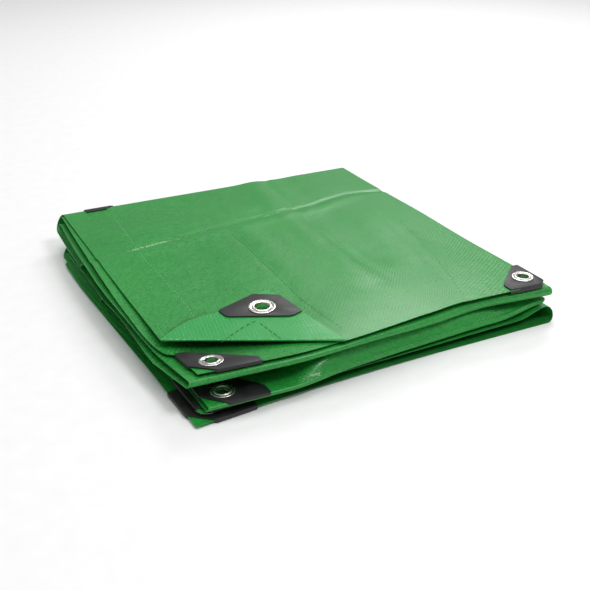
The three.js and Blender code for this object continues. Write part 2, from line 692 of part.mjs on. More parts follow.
// The origin is below the middle of the pile, on the surface that it rests on.
const bounds = new THREE.Box3().setFromObject(pile);
const centre = bounds.getCenter(new THREE.Vector3());
pile.position.set(-centre.x, -centre.y, -bounds.min.z);

const tarp = new THREE.Group();
tarp.add(pile);

export default tarp;
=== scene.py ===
# %% [markdown]
# # A folded tarp
# A green woven tarp lies folded into a flat pile. Its corners carry black plastic guards, and metal
# eyelets go through most of them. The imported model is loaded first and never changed. Every piece
# that is made here is in metres, in the same frame, and stands for the solid that it replaces.

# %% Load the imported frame
import math
import random

import bmesh
import bpy
import numpy as np
from mathutils import Matrix, Vector


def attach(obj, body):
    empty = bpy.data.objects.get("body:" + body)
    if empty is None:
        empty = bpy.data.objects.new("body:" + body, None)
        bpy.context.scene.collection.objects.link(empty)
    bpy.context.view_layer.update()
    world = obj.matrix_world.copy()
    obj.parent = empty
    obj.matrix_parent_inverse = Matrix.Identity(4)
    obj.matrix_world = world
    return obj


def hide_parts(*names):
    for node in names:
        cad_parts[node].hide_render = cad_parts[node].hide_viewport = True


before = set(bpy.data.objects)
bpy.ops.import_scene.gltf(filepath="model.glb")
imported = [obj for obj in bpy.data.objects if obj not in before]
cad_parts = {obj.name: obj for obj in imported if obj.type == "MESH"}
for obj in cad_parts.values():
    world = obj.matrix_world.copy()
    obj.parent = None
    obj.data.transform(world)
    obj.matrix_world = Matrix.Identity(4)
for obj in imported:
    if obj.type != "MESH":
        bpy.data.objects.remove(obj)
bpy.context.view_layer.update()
MM = 0.001
random.seed(7)
print("nodes:", ", ".join(sorted(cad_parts)))

# %% [markdown]
# ## Sizes of the pile
# The cloth was folded in half and then back and forth, like a letter. These tables follow the solid
# in millimetres, from the pile's front left corner. HEIGHTS gives the middle of the cloth for each
# run. There, rise lifts a sheet behind its flat corner and dip tilts that corner. bank lifts the lip's
# sheets behind their front fold, swell those round the roll's thin part, and end all of them at the
# right end. SIDES gives the left and right edges, TURNS and FRONTS the folds between the runs. The
# lip lies lower at the front than in the solid, as the photo shows it.

# %% The pile's tables
PILE_CORNER = np.array([-172.484, -193.103, 0.0])
WIDTH = 350.0
DEPTH = 379.0
CLOTH_OF_SOLID = 1.0

# The front corners under the guards are flat this far back and to the right.
CORNER_DEPTH = 60.0
CORNER_WIDTH = 75.0
CORNER_HINGE = 0.25
RISE_END = 78.0

# Front heights reach this far back, and the heights of the back part start and end here.
FRONT_FADE = 145.0
BACK_FADE_START = 145.0
BACK_FADE_END = 218.0

# The lip rises over LIP_BACK behind its front fold, in full from BANK_FULL on, and most at SWELL_AT.
LIP_BACK = 9.0
BANK_FULL = 115.0
BANK_SWELL = 0.3
SWELL_AT = 150.0
SWELL_WIDTH = 45.0
END_RISE_START = 300.0

# Stations across the pile between which its edges and folds change.
LEFT_STRETCH = 138.0
RIGHT_STRETCH = 262.0
RIGHT_LEVEL = 295.0
REAR_RIGHT = -1.0


def rows_of(columns, *rows):
    """Rows as dictionaries, named by the columns."""
    names = columns.split()
    return [dict(zip(names, row)) for row in rows]


HEIGHTS = rows_of(
    "run ply front_left front_right middle back rise dip bank swell end",
    ("top", "A", 37.9, 39.0, 38.2, 39.0, 0, 0, 0, 0, 0),
    ("top", "B", 36.2, 37.4, 35.4, 37.2, 0, 7, 0, 0, 0),
    ("upper_tuck", "A", 20.4, 20.4, 20.4, 20.4, 0, 0, 0, 0, 0),
    ("upper_tuck", "B", 22.0, 22.0, 22.0, 22.0, 0, 0, 0, 0, 0),
    ("upper_turn_in", "A", 26.2, 26.2, 26.2, 26.2, 0, 0, 0, 0, 0),
    ("upper_turn_in", "B", 24.6, 24.6, 24.6, 24.6, 0, 0, 0, 0, 0),
    ("second", "A", 31.5, 32.5, 29.3, 30.2, 0, 7, 0, 1.4, 0),
    ("second", "B", 33.0, 34.1, 32.2, 31.8, 0, 7, 0, 1.4, 0),
    ("third", "A", 30.0, 27.6, 26.4, 18.6, 0, 7, 0, 2.2, 0),
    ("third", "B", 27.8, 25.8, 24.6, 16.9, 0, 7, 0, 2.8, 0),
    ("lower_tuck", "A", 6.9, 6.9, 6.9, 6.9, 0, 0, 0, 0, 0),
    ("lower_tuck", "B", 8.5, 8.5, 8.5, 8.5, 0, 0, 0, 0, 0),
    ("lower_turn_in", "A", 11.7, 11.7, 11.7, 11.7, 0, 0, 0, 0, 0),
    ("lower_turn_in", "B", 10.1, 10.1, 10.1, 10.1, 0, 0, 0, 0, 0),
    ("fourth", "A", 12.0, 12.4, 17.4, 13.5, 1.7, 0, 6.5, 0, 7.3),
    ("fourth", "B", 13.1, 14.0, 19.4, 15.1, 2.6, 0, 10.2, 0, 7.3),
    ("fifth", "A", 11.0, 10.8, 9.2, 5.3, 0.8, 0, 3, 0, 7.0),
    ("fifth", "B", 9.9, 9.2, 6.4, 3.7, 0, 0, 3, 0, 7.0),
    ("bottom", "A", 2.4, 0.5, 0.5, 0.5, 0, 0, 0, 0, 0),
    ("bottom", "B", 7.4, 7.0, 3.2, 2.1, 0, 0, 0, 0, 0),
)
SIDES = rows_of(
    "run ply corner lean bow skew rear right",
    ("top", "A", 0, 0, 1, 1, 0, -2),
    ("top", "B", 9, -3, 14, 0.45, -2, -2),
    ("upper_tuck", "A", 0, 0, 5, 1, -9, 4),
    ("upper_tuck", "B", 0, 0, 5, 1, -8, 4),
    ("upper_turn_in", "A", 0, 0, 5, 1, -6, 4),
    ("upper_turn_in", "B", 0, 0, 5, 1, -7, 4),
    ("second", "A", 12, -4, 5, 0.8, -4, 5.5),
    ("second", "B", 1, -5, 8, 0.8, -6, 5.5),
    ("third", "A", 10, -4, 2, 0.8, -7, 6),
    ("third", "B", -1, -7, 3, 0.4, -9, 6),
    ("lower_tuck", "A", 0, 0, 1, 1, -14, 4),
    ("lower_tuck", "B", 0, 0, 1, 1, -13, 4),
    ("lower_turn_in", "A", 0, 0, 1, 1, -11, 4),
    ("lower_turn_in", "B", 0, 0, 1, 1, -12, 4),
    ("fourth", "A", 10, 0, 4, 1, -10, 4),
    ("fourth", "B", 10, -1, 4, 1, -11, 4),
    ("fifth", "A", 8, 0, 6, 1, -12, 0),
    ("fifth", "B", 8, -1, 8, 1, -13, 0),
    ("bottom", "A", -3, -3, 3, 1.3, -13, 3),
    ("bottom", "B", 4.5, -2, 8, 1, -12, 3),
)
SHEETS = {(row["run"], row["ply"]): {**row, **side} for row, side in zip(HEIGHTS, SIDES)}
RUNS = list(dict.fromkeys(row["run"] for row in HEIGHTS))
TURNS = rows_of(
    "side outer left right inset_left inset_right round steps",
    ("back", "A", 389, 380, 2.2, 2.2, 1.1, 12),
    ("front", "A", 280, 294, 2, 2, 1, 8),
    ("back", "B", 376, 367, 2, 2, 1, 8),
    ("front", "B", "roll", "roll", 13, 2, 0.9, 16),
    ("back", "A", 346, 372, 2, 2, 1, 10),
    ("front", "A", 225, 280, 2, 2, 1, 8),
    ("back", "B", 333, 359, 2, 2, 1, 8),
    ("front", "B", "lip", "lip", 80, 2, 0.9, 16),
    ("back", "A", 333, 366, 2.5, 2.5, 1, 8),
)
CREASE_X = 228.0
FRONT_ACROSS = np.array([0.0, CORNER_WIDTH, LEFT_STRETCH, CREASE_X, RIGHT_LEVEL, WIDTH])
FRONTS = {
    "topA": [5, 5, 4.5, 10.5, 12, 6],
    "topB": [16.5, 7.2, 7.5, 13, 15, 9],
    "roll": [12.5, 4.5, 3, 8, 11, 3],
    "lip": [1, -3, 2.5, 6.5, 8, 8],
    "bottomB": [5, 6, 6, 6, 6, 5],
    "bottomA": [-3, 1.5, 3, 3, 1, -1],
}

# The inner bottom sheet curls up at its right end, and the hairpin is the fold at the right edge.
CURL = 7.8
CURL_START = 320.0
HAIRPIN_STEPS = 8
HAIRPIN_REACH = 7.0
print("runs:", len(RUNS), "turns:", len(TURNS))

# %% [markdown]
# ## Height and edge of every sheet
# A sheet's height is a mix of its heights at the front, in the middle and at the back. Every sheet
# is mixed by the same shares, so no two of them can cross. The relief of the top sheet is handed
# down to the sheets below it, less and less towards the surface that the pile rests on.


# %% Shape functions
def smooth(start, end, value):
    share = np.clip((value - start) / (end - start), 0.0, 1.0)
    return share * share * (3 - 2 * share)


def mix(first, second, share):
    return first + (second - first) * share


def curve_through(values, x):
    """A smooth curve through the stations across the pile, straight over its first and last stretch."""
    values = np.array(values, float)
    steps = np.diff(FRONT_ACROSS)
    slopes = np.gradient(values, FRONT_ACROSS)
    slopes[:2] = (values[1] - values[0]) / steps[0]
    slopes[-2:] = (values[-1] - values[-2]) / steps[-1]
    i = np.clip(np.searchsorted(FRONT_ACROSS, x) - 1, 0, len(steps) - 1)
    t = (x - FRONT_ACROSS[i]) / steps[i]
    bend = values[i] * (1 + 2 * t) * (1 - t) ** 2 + values[i + 1] * t * t * (3 - 2 * t)
    return bend + steps[i] * (slopes[i] * t * (1 - t) ** 2 - slopes[i + 1] * t * t * (1 - t))


WAVE_HEIGHT = 0.6
WAVE_ACROSS = 190
WAVE_ALONG = 250

# Soft ridges and troughs of the top sheet: their height, half width and line in plan.
CROSS_CREASE = [(0, 255), (37, 256), (114, 267), (162, 272), (233, 277), (311, 292), (352, 281)]
RELIEF = rows_of(
    "height width line",
    (-1.3, 3.5, CROSS_CREASE),
    (1.1, 9, [(0, 243), (60, 247), (114, 254), (162, 259), (233, 263), (311, 278)]),
    (0.8, 16, [(20, 290), (114, 296), (200, 305)]),
    (-1.3, 4.5, [(242, 379), (231, 274), (227, 167), (226, 124), (228, 67), (228, 20)]),
    (1.3, 13, [(225, 379), (214, 274), (210, 167), (212, 90)]),
    (-1.3, 14, [(262, 360), (255, 274), (252, 200), (248, 130)]),
    (1.0, 22, [(300, 240), (290, 160), (285, 110)]),
    (-0.5, 3, [(142, 260), (139, 151), (135, 87), (139, 30)]),
    (0.6, 10, [(160, 250), (158, 151), (160, 90)]),
    (-0.8, 16, [(95, 235), (85, 180), (70, 130)]),
    (-0.5, 3, [(315, 300), (305, 232), (296, 150), (275, 69), (266, 20)]),
)


def distance_to(line, x, y):
    """Distance in plan to a line of points."""
    best = np.full(np.broadcast(x, y).shape, np.inf)
    for (x0, y0), (x1, y1) in zip(line, line[1:]):
        along = np.array([x1 - x0, y1 - y0], float)
        t = np.clip(((x - x0) * along[0] + (y - y0) * along[1]) / (along @ along), 0, 1)
        best = np.minimum(best, np.hypot(x - x0 - t * along[0], y - y0 - t * along[1]))
    return best


def relief(x, y):
    """Waves and creases of the top sheet, none where guards sit."""
    wave = WAVE_HEIGHT * np.sin(2 * np.pi * x / WAVE_ACROSS) * np.sin(2 * np.pi * y / WAVE_ALONG)
    for ridge in RELIEF:
        wave = wave + ridge["height"] * np.exp(-((distance_to(ridge["line"], x, y) / ridge["width"]) ** 2))
    return wave * smooth(CORNER_DEPTH, FRONT_FADE, y)


def corner_tilt(sheet, y):
    """How far the flat front left corner of a sheet is tilted down to the back."""
    return sheet["dip"] * (CORNER_HINGE - np.minimum(y, CORNER_DEPTH) / CORNER_DEPTH)


def height_at(sheet, x, y):
    """Height of the middle of a sheet, from its own row and the relief of the top sheet."""
    side = smooth(CORNER_WIDTH, RIGHT_LEVEL, x)
    near_left = 1 - smooth(CORNER_WIDTH, LEFT_STRETCH, x)
    front = 1 - smooth(CORNER_DEPTH, FRONT_FADE, y)
    back = smooth(BACK_FADE_START, BACK_FADE_END, y)
    corner = mix(sheet["front_left"], sheet["front_right"], side) + near_left * corner_tilt(sheet, y)
    swell = np.exp(-(((x - SWELL_AT) / SWELL_WIDTH) ** 2))
    inner = smooth(CORNER_WIDTH, BANK_FULL, x)
    past_lip = y - curve_through(FRONTS["lip"], x)
    lift = sheet["rise"] * smooth(CORNER_DEPTH, RISE_END, y) * front * (1 - side)
    bank = sheet["bank"] * (1 + BANK_SWELL * swell) * (1 - smooth(RIGHT_STRETCH, WIDTH, x))
    lifted = inner * (bank * smooth(0, LIP_BACK, past_lip) + sheet["swell"] * swell)
    lifted = lifted + sheet["end"] * smooth(END_RISE_START, WIDTH, x)
    curls = sheet["run"] == "bottom" and sheet["ply"] == "B"
    curl = CURL * smooth(CURL_START, WIDTH, x) * front if curls else 0
    base = front * (corner + lifted) + back * sheet["back"] + (1 - front - back) * sheet["middle"]
    floor_height = CLOTH_OF_SOLID / 2
    share = (base - floor_height) / (SHEETS["top", "A"]["middle"] - floor_height)
    return base + lift + curl + relief(x, y) * share


def side_shift(sheet, x, y):
    """How far the side edges lie from X 0 and the width, less and less felt inside the pile."""
    past = np.clip((y - CORNER_DEPTH) / (DEPTH - CORNER_DEPTH), 0, 1)
    corner = sheet["corner"] + sheet["lean"] * np.minimum(y, CORNER_DEPTH) / CORNER_DEPTH
    swell = sheet["bow"] * np.sin(np.pi * past ** sheet["skew"])
    edge = mix(corner, sheet["rear"], smooth(0, 1, past)) - swell
    left = np.maximum(0, 1 - x / LEFT_STRETCH)
    right = np.maximum(0, (x - RIGHT_STRETCH) / (WIDTH - RIGHT_STRETCH))
    return edge * left + mix(sheet["right"], REAR_RIGHT, smooth(0, 1, past)) * right


def turn_at(index, ply, x):
    """Where the cloth starts to turn after a run, how deep the turn is, and which way it points."""
    turn = TURNS[index]
    inward = -1 if turn["side"] == "back" else 1
    named = isinstance(turn["left"], str)
    outer = curve_through(FRONTS[turn["left"]], x) if named else mix(turn["left"], turn["right"], x / WIDTH)
    inset = mix(turn["inset_left"], turn["inset_right"], smooth(LEFT_STRETCH, WIDTH, x))
    reach = outer + (0 if ply == turn["outer"] else inward * inset)
    start = height_at(SHEETS[RUNS[index], ply], x, reach)
    end = height_at(SHEETS[RUNS[index + 1], ply], x, reach)
    depth = turn["round"] * np.abs(start - end) / 2
    return reach + inward * depth, depth, -inward


print("top sheet at its middle:", round(float(height_at(SHEETS["top", "A"], 175.0, 190.0)), 2), "mm")

# %% [markdown]
# ## The grid of the cloth
# The cloth is one grid, made flat by the grid operator with a place for each of its points, which
# is then bent into the pile. Rows follow the cloth from the free edge of the top sheet to that of
# the bottom one. Columns cross ply A from left to right, go round the fold at the right edge and
# come back through ply B. Rows are close together where folds and the top sheet need them.

# %% Rows and columns
TOP_ROWS = np.linspace(0, DEPTH, 102)
RUN_ROWS = [0, 3, 6, 9, 13, 18, 24, 30, 38, 48, 60, 69, 78, 91, 105, 125, 145, 162, 180, 199, 218,
            247, 277, 301, 325, 379]
TUCK_ROWS = [0, 0.33, 0.67, 1]
COLUMNS_A = np.concatenate([[0, 1.5, 4, 7.5], np.linspace(11, 338, 80), [342, 345, 347.5, 350]])
COLUMNS_B = np.concatenate([[0, 1.5, 4, 8, 13, 19], np.linspace(26, 335, 34), [342, 347, 350]])
CREASE_ROW = 277.0

# The top sheet's lines lean with its seams, which start at SEAMS_ACROSS.
SEAMS_ACROSS = [0, 41, 138, 228, 295, 350]
SEAM_LEAN = [
    ([0, 379], [0, 0]),
    ([95, 165, 228, 270, 350], [-3, -0.5, 0, 1, 5]),
    ([41, 87, 151, 247], [2, -3, 1, 3]),
    ([33, 67, 124, 167, 274, 375], [0, 0, -2, -1, 3, 12]),
    ([20, 69, 136, 232, 277], [-29, -20, 1, 10, 17]),
    ([0, 379], [0, 0]),
]


def edge_of(run, ply, x):
    return curve_through(FRONTS[run + ply], x)


def rows_in_run(run, x, start, end):
    """The Y of each row of a run, for every column."""
    low, high = np.minimum(start, end), np.maximum(start, end)
    if run.endswith("tuck") or run.endswith("turn_in"):
        rows = [mix(low, high, share) for share in TUCK_ROWS]
    else:
        marks = TOP_ROWS if run == "top" else RUN_ROWS
        pin = CREASE_ROW if run == "top" else RUN_ROWS[-2]
        at_pin = np.interp(x, *np.transpose(CROSS_CREASE)) if run == "top" else np.full_like(x, pin)
        rows = []
        for mark in marks:
            front = mix(low, CORNER_DEPTH, mark / CORNER_DEPTH)
            middle = mix(CORNER_DEPTH, at_pin, (mark - CORNER_DEPTH) / (pin - CORNER_DEPTH))
            back = mix(at_pin, high, (mark - pin) / (marks[-1] - pin))
            rows.append(front if mark < CORNER_DEPTH else middle if mark < pin else back)
    return rows[::-1] if np.all(start > end) else rows


def seam_lean(x, y):
    """How far the top sheet's lines lean with its seams."""
    leans = np.array([np.interp(y, *lean) for lean in SEAM_LEAN])
    i = np.clip(np.searchsorted(SEAMS_ACROSS, x) - 1, 0, len(SEAMS_ACROSS) - 2)
    left, right = np.array(SEAMS_ACROSS)[i], np.array(SEAMS_ACROSS)[i + 1]
    pick = np.arange(len(x))
    return mix(leans[i, pick], leans[i + 1, pick], (x - left) / (right - left))


def ply_grid(ply, columns):
    """Points of one ply, a row for each line across the cloth, in millimetres."""
    grid = []
    for index, run in enumerate(RUNS):
        sheet = SHEETS[run, ply]
        start = edge_of(run, ply, columns) if index == 0 else turn_at(index - 1, ply, columns)[0]
        last = index == len(RUNS) - 1
        end = edge_of(run, ply, columns) if last else turn_at(index, ply, columns)[0]
        for y in rows_in_run(run, columns, start, end):
            x = columns + (seam_lean(columns, y) if (run, ply) == ("top", "A") else 0)
            grid.append(np.stack([x + side_shift(sheet, x, y), y, height_at(sheet, x, y)], -1))
        if last:
            break
        y, depth, outward = turn_at(index, ply, columns)
        ends = []
        for next_run in (run, RUNS[index + 1]):
            turned = SHEETS[next_run, ply]
            ends.append(np.stack([columns + side_shift(turned, columns, y), y,
                                  height_at(turned, columns, y)], -1))
        for step in range(1, TURNS[index]["steps"]):
            angle = math.pi * step / TURNS[index]["steps"]
            point = mix(ends[0], ends[1], (1 - math.cos(angle)) / 2)
            point[:, 1] = y + outward * depth * math.sin(angle)
            grid.append(point)
    return np.array(grid)


def whole_grid():
    """Ply A, the fold at the right edge and ply B, as rows by columns by 3."""
    outer, inner = ply_grid("A", COLUMNS_A), ply_grid("B", COLUMNS_B)[:, ::-1]
    a, b = outer[:, -1], inner[:, 0]
    reach = np.minimum(np.linalg.norm(a - b, axis=1) / 2, HAIRPIN_REACH)
    hairpin = []
    for step in range(1, HAIRPIN_STEPS):
        angle = math.pi * step / HAIRPIN_STEPS
        point = mix(a, b, (1 - math.cos(angle)) / 2)
        point[:, 0] += reach * math.sin(angle)
        hairpin.append(point)
    return np.concatenate([outer, np.stack(hairpin, 1), inner], 1)


grid = whole_grid()
print("grid:", grid.shape)

# %% [markdown]
# ## From the grid to one sheet
# The grid operator lays the points out in rows and columns with a UV layer, and each point then
# moves to its own place. The UV of the sheet is its real size in metres: U runs across the pile and
# V along the folded cloth, so the weave keeps one scale and runs straight through every fold.


# %% Cloth mesh
def place(points):
    """Millimetres from the pile's corner to metres in the shared frame."""
    return (np.asarray(points) + PILE_CORNER) * MM


def flat_across():
    """Distance across the unfolded cloth for every column."""
    inner = (2 * WIDTH + 2 * HAIRPIN_REACH - COLUMNS_B)[::-1]
    hairpin = WIDTH + np.arange(1, HAIRPIN_STEPS) * 2 * HAIRPIN_REACH / HAIRPIN_STEPS
    return np.concatenate([COLUMNS_A, hairpin, inner])


rows, columns = grid.shape[:2]
across = flat_across()
along = np.linalg.norm(np.diff(grid, axis=0), axis=2).cumsum(axis=0)
along = np.concatenate([np.zeros((1, columns)), along])

bm = bmesh.new()
weave = bm.loops.layers.uv.new("weave")
bmesh.ops.create_grid(bm, x_segments=columns - 1, y_segments=rows - 1, size=1, calc_uvs=True)
cell_of = {}
for vert in bm.verts:
    cell_of[vert] = (round((vert.co.y + 1) / 2 * (rows - 1)), round((vert.co.x + 1) / 2 * (columns - 1)))
placed = place(grid)
for vert, cell in cell_of.items():
    vert.co = placed[cell]
for face in bm.faces:
    for loop in face.loops:
        row, column = cell_of[loop.vert]
        loop[weave].uv = (across[column] * MM, along[row, column] * MM)

# %% [markdown]
# ## The corner that is folded back
# The top sheet's front left corner is folded over, so that its guard and eyelet lie on the pile. The
# sheet is cut along the fold line, and the new edge is extruded: round a tight turn and on to the
# tip. Its free edges bulge a little, as cut cloth does when it isn't pulled tight.

# %% Folded corner
EAR_LEFT = Vector((0, 75))
EAR_RIGHT = Vector((130, 6))
EAR_TIP = Vector((115, 110))
EAR_FOLD_HEIGHT = 39.5
EAR_TIP_HEIGHT = 42.4
EAR_LEVEL = 0.36
EAR_TURN = 0.8
EAR_TURN_STEPS = 6
EAR_STEPS = 26
EAR_END = 0.985
EAR_BULGE = 7.0
EAR_BULGE_END = 0.53
EAR_LINE = EAR_RIGHT - EAR_LEFT
EAR_INWARD = Vector((-EAR_LINE.y, EAR_LINE.x)).normalized()
EAR_SLOPE = (EAR_TIP_HEIGHT - EAR_FOLD_HEIGHT) / (EAR_TIP - EAR_LEFT).dot(EAR_INWARD)
EAR_EDGE = (EAR_TIP - EAR_LEFT).normalized()
EAR_OUTSIDE = Vector((-EAR_EDGE.y, EAR_EDGE.x))
TOP_A = SHEETS["top", "A"]


def ear_plane(plan):
    return EAR_FOLD_HEIGHT + EAR_SLOPE * (plan - EAR_LEFT).dot(EAR_INWARD)


def ear_point(share, step):
    """A point of the folded corner: share along its fold, step through its turn and on to its tip."""
    fold = EAR_LEFT + EAR_LINE * share
    low = float(height_at(TOP_A, fold.x, fold.y))
    if step <= EAR_TURN_STEPS:
        angle = math.pi * step / EAR_TURN_STEPS
        plan = fold - EAR_INWARD * EAR_TURN * math.sin(angle)
        return plan, low + EAR_TURN * (1 - math.cos(angle))
    way = EAR_END * (step - EAR_TURN_STEPS) / EAR_STEPS
    bulge = math.sin(math.pi * min(1, way / EAR_BULGE_END)) * EAR_BULGE * max(0, 1 - share) ** 2
    plan = fold.lerp(EAR_TIP, way) + EAR_OUTSIDE * bulge
    share_up = float(smooth(0, EAR_LEVEL, way))
    return plan, mix(low + 2 * EAR_TURN, ear_plane(plan), share_up)


def unfolded(plan):
    """Where a point of the corner was on the flat cloth."""
    return plan - 2 * EAR_INWARD * (plan - EAR_LEFT).dot(EAR_INWARD)


top_faces = [face for face in bm.faces
             if all(cell_of[v][0] < len(TOP_ROWS) and cell_of[v][1] < len(COLUMNS_A) for v in face.verts)]
top_geometry = top_faces + list({e for f in top_faces for e in f.edges})
top_geometry += list({v for f in top_faces for v in f.verts})
fold_point = Vector(place((*EAR_LEFT, 0)))
cut = bmesh.ops.bisect_plane(bm, geom=top_geometry, dist=1e-7, plane_co=fold_point,
                             plane_no=(-EAR_INWARD.x, -EAR_INWARD.y, 0), clear_outer=True)
fold_edges = [e for e in cut["geom_cut"] if isinstance(e, bmesh.types.BMEdge) and e.is_boundary]
front_edges = fold_edges
shares = {}
for vert in {v for e in fold_edges for v in e.verts}:
    plan = Vector((vert.co.x / MM - PILE_CORNER[0], vert.co.y / MM - PILE_CORNER[1]))
    shares[vert] = (plan - EAR_LEFT).dot(EAR_LINE) / EAR_LINE.length_squared
ear_faces = []
flat_of = {}
for step in range(1, EAR_TURN_STEPS + EAR_STEPS + 1):
    made = bmesh.ops.extrude_edge_only(bm, edges=front_edges)["geom"]
    before = {v for e in front_edges for v in e.verts}
    front_edges = [e for e in made if isinstance(e, bmesh.types.BMEdge) and e.is_boundary
                   and not (set(e.verts) & before)]
    ear_faces += [f for f in made if isinstance(f, bmesh.types.BMFace)]
    for vert in [v for v in made if isinstance(v, bmesh.types.BMVert)]:
        source = next(e.other_vert(vert) for e in vert.link_edges if e.other_vert(vert) in before)
        shares[vert] = shares[source]
        plan, height = ear_point(shares[vert], step)
        vert.co = place((plan.x, plan.y, height))
        flat_of[vert] = unfolded(plan)
for face in ear_faces:
    for loop in face.loops:
        vert = loop.vert
        flat = flat_of.get(vert, EAR_LEFT + EAR_LINE * shares[vert])
        loop[weave].uv = (flat.x * MM, (flat.y - FRONTS["topA"][0]) * MM)
print("folded corner:", len(ear_faces), "faces")

# %% [markdown]
# ## Holes for the eyelets
# A punch went through guard and cloth before each eyelet was set. The faces round each eyelet's
# barrel are taken out. The edge of the hole stays hidden under the plates and the flange.

# %% Eyelet places
GUARDS = rows_of(
    "name first second blunt_first blunt_second cut inset_first inset_second flange",
    ("dog_ear", 51, 58, 11, 12, 17, 22, 24, 12),
    ("second_sheet", 53, 43, 8, 6, 15, 18, 16, 10.2),
    ("front_turn", 52, 54, 12, 12, 17, 18.5, 16.5, 10.2),
    ("bottom_outer", 54, 54, 12, 12, 17, 18, 18, 10.2),
    ("right_edge", 39, 42, 10, 5, 5, 12.5, 17, 10.2),
)
GAP = 0.3
PLATE = 0.8
OVER_CLOTH = CLOTH_OF_SOLID / 2 + GAP
BARREL_SHARE = 0.62
BORE_SHARE = 0.53
WASHER_SHARE = 0.86


def corner_frame(point, on_first, on_second):
    return {"point": point, "along_first": (on_first - point).normalized(),
            "along_second": (on_second - point).normalized()}


def left_corner(key, front):
    """The front left corner of a sheet, with the plane that it is flat on."""
    sheet = SHEETS[key]

    def at(x, y):
        return Vector((x + float(side_shift(sheet, x, y)), y))

    plane = (sheet["front_left"] + float(corner_tilt(sheet, 0)), 0, -sheet["dip"] / CORNER_DEPTH)
    return {**corner_frame(at(0, front[0]), at(CORNER_WIDTH, front[1]), at(0, CORNER_DEPTH)),
            "plane": plane, "under": 0}


def right_corner():
    """The front right corner of the top sheet, at the outside of its folded edge."""
    inner = SHEETS["top", "B"]
    apart = float(height_at(TOP_A, WIDTH, 0) - height_at(inner, WIDTH, 0))
    bulge = math.hypot(apart, FRONTS["topA"][-1] - FRONTS["topB"][-1]) / 2
    side = WIDTH + TOP_A["right"] + bulge + CLOTH_OF_SOLID / 2
    far, near = FRONTS["topA"][-2:]
    frame_at = corner_frame(Vector((side, near)), Vector((side - (WIDTH - RIGHT_LEVEL), far)),
                            Vector((side, CORNER_DEPTH)))
    return {**frame_at, "plane": (TOP_A["front_right"], 0, 0),
            "under": TOP_A["front_right"] - inner["front_right"]}


ear_height = EAR_FOLD_HEIGHT - EAR_SLOPE * EAR_LEFT.dot(EAR_INWARD)
GUARD_PLACES = {
    "dog_ear": {**corner_frame(EAR_TIP, EAR_RIGHT, EAR_LEFT), "under": 0,
                "plane": (ear_height, EAR_SLOPE * EAR_INWARD.x, EAR_SLOPE * EAR_INWARD.y)},
    "second_sheet": left_corner(("top", "B"), FRONTS["topB"]),
    "front_turn": {**left_corner(("fourth", "B"), FRONTS["lip"]), "on_fold": True},
    "bottom_outer": left_corner(("bottom", "A"), FRONTS["bottomA"]),
    "right_edge": right_corner(),
}
for guard in GUARDS:
    guard.update(GUARD_PLACES[guard["name"]])
    guard["centre"] = (guard["point"] + guard["along_first"] * guard["inset_first"]
                       + guard["along_second"] * guard["inset_second"])


def plane_height(plane, x, y):
    return plane[0] + plane[1] * x + plane[2] * y


HOLE_SPARE = 1.6
CLEARANCE = 1.5
punched = []
for guard in GUARDS:
    reach = guard["flange"] * BARREL_SHARE + HOLE_SPARE
    for face in bm.faces:
        spot = np.array(face.calc_center_median()) / MM - PILE_CORNER
        if math.hypot(spot[0] - guard["centre"].x, spot[1] - guard["centre"].y) > reach:
            continue
        depth = plane_height(guard["plane"], spot[0], spot[1]) - spot[2]
        if -CLEARANCE < depth < guard["under"] + CLEARANCE:
            punched.append(face)
bmesh.ops.delete(bm, geom=punched, context="FACES")
print("faces taken out for the eyelets:", len(punched))

# %% [markdown]
# ## Thickness
# A coated woven sheet is well under a millimetre thick. Solidify gives the single sheet both of its
# faces and a thin cut edge, and the result is applied, because the piece is rigid.

# %% Cloth piece
SHEET_THICKNESS = 0.0005
SHARP_EDGE = math.radians(50)


def new_piece(name, bm, smooth_shaded=True):
    mesh = bpy.data.meshes.new(name)
    bm.to_mesh(mesh)
    bm.free()
    piece = bpy.data.objects.new(name, mesh)
    bpy.context.scene.collection.objects.link(piece)
    if smooth_shaded:
        mesh.shade_smooth()
    return piece


def apply_modifiers(piece):
    """Replaces a piece's mesh by what its modifiers make of it."""
    evaluated = piece.evaluated_get(bpy.context.evaluated_depsgraph_get())
    final = bpy.data.meshes.new_from_object(evaluated)
    piece.modifiers.clear()
    piece.data = final
    final.name = piece.name


cloth = new_piece("tarp_sheet", bm)
solidify = cloth.modifiers.new("thickness", "SOLIDIFY")
solidify.thickness = SHEET_THICKNESS
solidify.offset = 0
apply_modifiers(cloth)
cloth.data.set_sharp_from_angle(angle=SHARP_EDGE)
triangles = sum(len(p.vertices) - 2 for p in cloth.data.polygons)
print("cloth:", triangles, "triangles")

# %% [markdown]
# ## Guards
# The guards are moulded plastic plates that are clipped over the cloth's corners. Their shape is the
# solid's own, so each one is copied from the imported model, its loose triangles are joined, and its
# edges are rounded as a mould leaves them.

# %% Guard pieces
GUARD_EDGE = 0.00028
MERGE = 1e-6


def guard_piece(node):
    bm = bmesh.new()
    bm.from_mesh(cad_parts[node].data)
    bmesh.ops.remove_doubles(bm, verts=bm.verts, dist=MERGE)
    bmesh.ops.dissolve_limit(bm, angle_limit=math.radians(2), verts=bm.verts, edges=bm.edges)
    sharp = [e for e in bm.edges if e.is_manifold and e.calc_face_angle() > math.radians(25)]
    bmesh.ops.bevel(bm, geom=sharp, offset=GUARD_EDGE, offset_type="OFFSET", segments=3, profile=0.5,
                    affect="EDGES", clamp_overlap=True, material=-1)
    piece = new_piece(node + "_piece", bm)
    piece.data.set_sharp_from_angle(angle=SHARP_EDGE)
    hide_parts(node)
    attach(piece, "root")
    return piece


guard_nodes = sorted(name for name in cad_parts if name.startswith("guard_"))
guards = {name: guard_piece(name) for name in guard_nodes}
print("guards:", len(guards))

